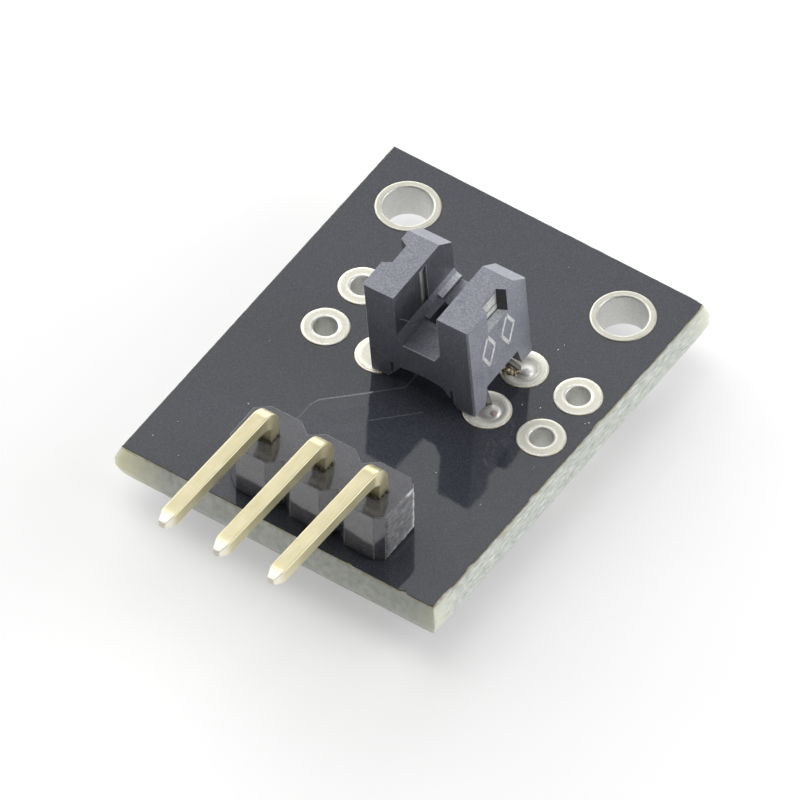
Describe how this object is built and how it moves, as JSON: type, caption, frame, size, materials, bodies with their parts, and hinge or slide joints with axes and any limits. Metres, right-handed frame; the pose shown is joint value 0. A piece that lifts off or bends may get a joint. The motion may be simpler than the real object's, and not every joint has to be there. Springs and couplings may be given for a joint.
{
  "type": "fork photoelectric sensor",
  "caption": "Slotted light-barrier sensor on a small black carrier board with a bent pin header, plated mounting holes and parts soldered underneath.",
  "frame": {"origin": "midway between the two mounting holes, in the plane of the board's underside", "axes": "+X to the right along the pin header, +Y away from the header, +Z out of the board's top face, where the fork stands"},
  "size_m": [0.015, 0.0241, 0.0083],
  "materials": {
    "laminate": "fibrous snapped glass laminate edge, cream to grey-green",
    "solder_mask": "glossy black coating with a faint orange peel",
    "tin_plating": "hot-levelled tin, soft satin",
    "solder": "solidified solder, glossy with dull patches",
    "header_plastic": "satin moulded plastic with a whitened snapped end",
    "pin_metal": "pale gold flash, soft satin",
    "housing_plastic": "fine matt moulded plastic",
    "package_resin": "cloudy moulded resin",
    "lead_metal": "tinned",
    "resistor_body": "black glaze over ceramic"
  },
  "bodies": {
    "root": {"board_laminate": "laminate", "solder_mask_top": "solder_mask", "solder_mask_bottom": "solder_mask", "mounting_hole_plating_1": "tin_plating", "mounting_hole_plating_2": "tin_plating", "lead_hole_plating_1": "tin_plating", "lead_hole_plating_2": "tin_plating", "lead_hole_plating_3": "tin_plating", "lead_hole_plating_4": "tin_plating", "spare_hole_plating_1": "tin_plating", "spare_hole_plating_2": "tin_plating", "spare_hole_plating_3": "tin_plating", "spare_hole_plating_4": "tin_plating", "header_hole_plating_1": "tin_plating", "header_hole_plating_2": "tin_plating", "header_hole_plating_3": "tin_plating", "resistor_pad_1": "tin_plating", "resistor_pad_2": "tin_plating", "resistor_pad_3": "tin_plating", "resistor_pad_4": "tin_plating", "header_solder_1": "solder", "header_solder_2": "solder", "header_solder_3": "solder", "sensor_solder_1": "solder", "sensor_solder_2": "solder", "sensor_solder_3": "solder", "sensor_solder_4": "solder", "resistor_solder_1": "solder", "resistor_solder_2": "solder", "resistor_solder_3": "solder", "resistor_solder_4": "solder", "header_strip": "header_plastic", "header_pin_1": "pin_metal", "header_pin_2": "pin_metal", "header_pin_3": "pin_metal", "fork_housing": "housing_plastic", "emitter_package": "package_resin", "detector_package": "package_resin", "sensor_lead_1": "lead_metal", "sensor_lead_2": "lead_metal", "sensor_lead_3": "lead_metal", "sensor_lead_4": "lead_metal", "resistor_cap_1": "lead_metal", "resistor_cap_2": "lead_metal", "resistor_cap_3": "lead_metal", "resistor_cap_4": "lead_metal", "resistor_1": "resistor_body", "resistor_2": "resistor_body"}
  },
  "joints": []
}
